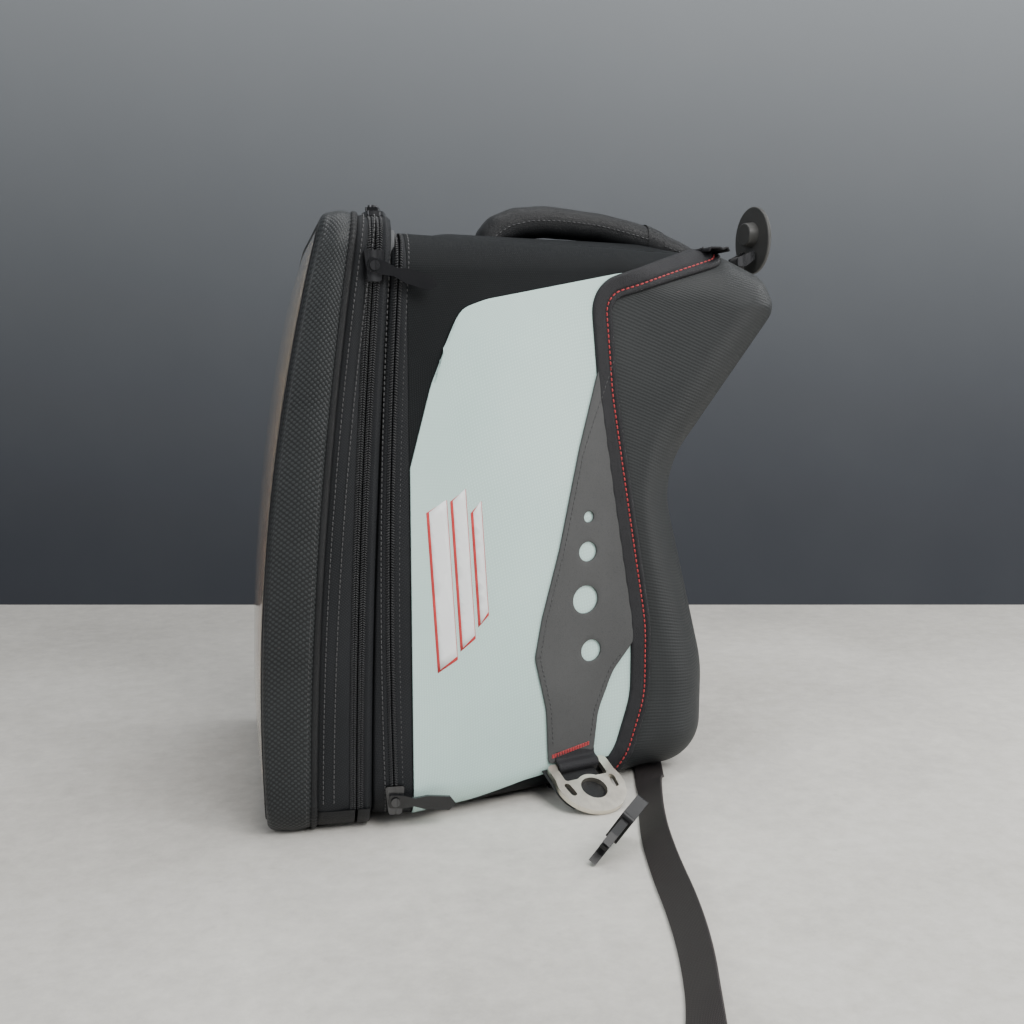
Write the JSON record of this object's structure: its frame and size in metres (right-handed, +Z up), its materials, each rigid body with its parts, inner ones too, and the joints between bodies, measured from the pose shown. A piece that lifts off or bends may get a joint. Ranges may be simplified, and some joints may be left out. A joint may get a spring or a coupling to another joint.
{
  "type": "motorcycle tank bag",
  "caption": "Semi-rigid expandable tank bag with a hinged window lid, a zipped expansion collar, a saddle-shaped base, side rings, a grab handle and a front strap.",
  "frame": {"origin": "centre of the object's box on the surface it stands on, without the loose strap and its buckle", "axes": "+X from the lid to the tank side, +Z up as it stands on its rear end, Y across the bag, its plane of symmetry at Y = 0"},
  "size_m": [0.3674, 0.5495, 0.3985],
  "materials": {
    "dotted_textile": "coated textile with an embossed dot texture",
    "black_textile": "fine coated textile",
    "pale_tarpaulin": "fine ribbed tarpaulin, semi-gloss",
    "clear_window": "clear glossy film",
    "black_vinyl": "smooth matt vinyl",
    "trim_leather": "padded, black and red stitching",
    "tab_leather": "matt smooth leather",
    "moulded_base": "moulded foam with a ribbed textile face",
    "zip_tape": "woven tape",
    "zip_coil": "nylon coil",
    "webbing": "woven polyester webbing",
    "lining": "plain woven lining",
    "satin_metal": "satin cast metal",
    "dark_metal": "black lacquered metal",
    "black_plastic": "satin moulded plastic",
    "gloss_plastic": "glossy moulded plastic"
  },
  "bodies": {
    "bag": {"base_board": "lining", "base_shell": "moulded_base", "base_trim": "trim_leather", "body_lining": "lining", "body_shell": "black_textile", "buckle": "gloss_plastic", "cross_strap": "webbing", "expansion_tape_body": "zip_tape", "fastener_loop": "webbing", "handle": "black_vinyl", "side_panel_far": "pale_tarpaulin", "side_panel_near": "pale_tarpaulin", "strap": "webbing", "tab_far": "tab_leather", "tab_near": "tab_leather", "tab_webbing_far": "webbing", "tab_webbing_near": "webbing"},
    "collar": {"collar_rim": "black_textile", "collar_zip_tape": "zip_tape", "collar_zip_coil": "zip_coil", "collar_hinge_patch": "black_vinyl", "expansion_tape_collar": "zip_tape", "expansion_gusset": "black_textile"},
    "lid": {"lid_wall": "dotted_textile", "lid_window": "clear_window", "lid_window_frame": "black_vinyl", "lid_board": "lining", "lid_piping": "black_vinyl", "lid_zip_tape": "zip_tape", "lid_zip_coil": "zip_coil", "lid_hinge_patch": "black_vinyl"},
    "lid_zip_near_slider": {"lid_zip_near_slider": "dark_metal"},
    "lid_zip_near_puller": {"lid_zip_near_puller": "gloss_plastic"},
    "lid_zip_far_slider": {"lid_zip_far_slider": "dark_metal"},
    "lid_zip_far_puller": {"lid_zip_far_puller": "gloss_plastic"},
    "expansion_zip_slider": {"expansion_zip_slider": "dark_metal"},
    "expansion_zip_puller": {"expansion_zip_puller": "gloss_plastic"},
    "ring_near": {"ring_near": "satin_metal"},
    "ring_far": {"ring_far": "satin_metal"},
    "fastener": {"fastener_link": "dark_metal", "fastener_disc": "black_plastic", "fastener_boss": "black_plastic"}
  },
  "joints": [
    {"name": "expansion", "type": "slide", "parent": "bag", "child": "collar", "axis": [-1, 0, 0], "range_m": [0, 0.035]},
    {"name": "lid_hinge", "type": "hinge", "parent": "collar", "child": "lid", "pos_m": [-0.12517, 0, 0], "axis": [0, -1, 0], "range_deg": [0, 100]},
    {"name": "lid_zip_near", "type": "slide", "parent": "collar", "child": "lid_zip_near_slider", "axis": [0, 0, -1], "range_m": [0, 0.3]},
    {"name": "lid_zip_near_swing", "type": "hinge", "parent": "lid_zip_near_slider", "child": "lid_zip_near_puller", "pos_m": [-0.1091, -0.1237, 0.345], "axis": [0, 1, 0], "range_deg": [-60, 73]},
    {"name": "lid_zip_far", "type": "slide", "parent": "collar", "child": "lid_zip_far_slider", "axis": [0, 1, 0], "range_m": [0, 0.18]},
    {"name": "lid_zip_far_swing", "type": "hinge", "parent": "lid_zip_far_slider", "child": "lid_zip_far_puller", "pos_m": [-0.10643, -0.092, 0.3757], "axis": [0, 0, 1], "range_deg": [-70, 60]},
    {"name": "expansion_zip", "type": "slide", "parent": "bag", "child": "expansion_zip_slider", "axis": [0, 0, 1], "range_m": [0, 0.21]},
    {"name": "expansion_zip_swing", "type": "hinge", "parent": "expansion_zip_slider", "child": "expansion_zip_puller", "pos_m": [-0.1013, -0.1215, 0.02], "axis": [0, 1, 0], "range_deg": [-84, 5]},
    {"name": "ring_near_swing", "type": "hinge", "parent": "bag", "child": "ring_near", "pos_m": [0.02394, -0.08919, 0.0217], "axis": [0.948, 0.3183, 0], "range_deg": [-60, 0]},
    {"name": "ring_far_swing", "type": "hinge", "parent": "bag", "child": "ring_far", "pos_m": [0.02394, 0.08919, 0.0217], "axis": [0.948, -0.3183, 0], "range_deg": [0, 60]},
    {"name": "fastener_swing", "type": "hinge", "parent": "bag", "child": "fastener", "pos_m": [0.16633, 0, 0.3585], "axis": [0, 1, 0], "range_deg": [-30, 35]}
  ]
}
